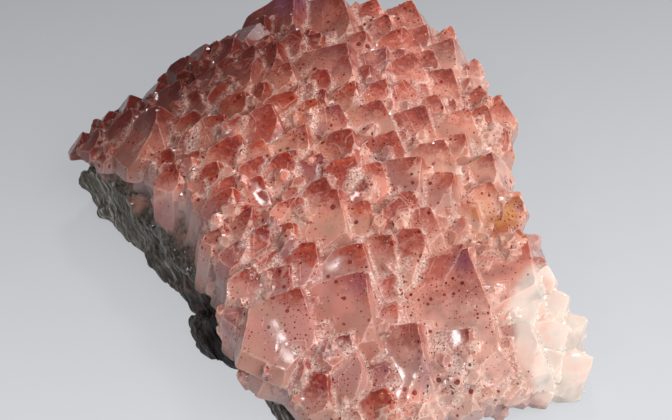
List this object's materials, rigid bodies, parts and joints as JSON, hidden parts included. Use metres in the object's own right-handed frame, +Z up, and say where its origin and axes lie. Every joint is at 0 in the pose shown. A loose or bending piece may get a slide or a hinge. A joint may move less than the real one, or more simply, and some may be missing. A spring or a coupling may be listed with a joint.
{
  "type": "strawberry quartz specimen",
  "caption": "Mineral specimen: a druse of red-tipped, hematite-speckled rhombohedral quartz crystals grown together over a slab of dark host rock with a flat rest face.",
  "frame": {"origin": "middle of the flat rest face under the host rock", "axes": "+Z up through the crystal tips, +Y along the specimen's length towards its big back crystals, +X across it"},
  "size_m": [0.0874, 0.1006, 0.0275],
  "materials": {
    "hematoid_quartz": "translucent crystal faces, brick red at the tips and pale pink below, with dark red hematite specks",
    "host_rock": "rough broken rock, grey-green to brown-black"
  },
  "bodies": {
    "root": {"quartz_crust": "hematoid_quartz", "host_rock": "host_rock"}
  },
  "joints": []
}
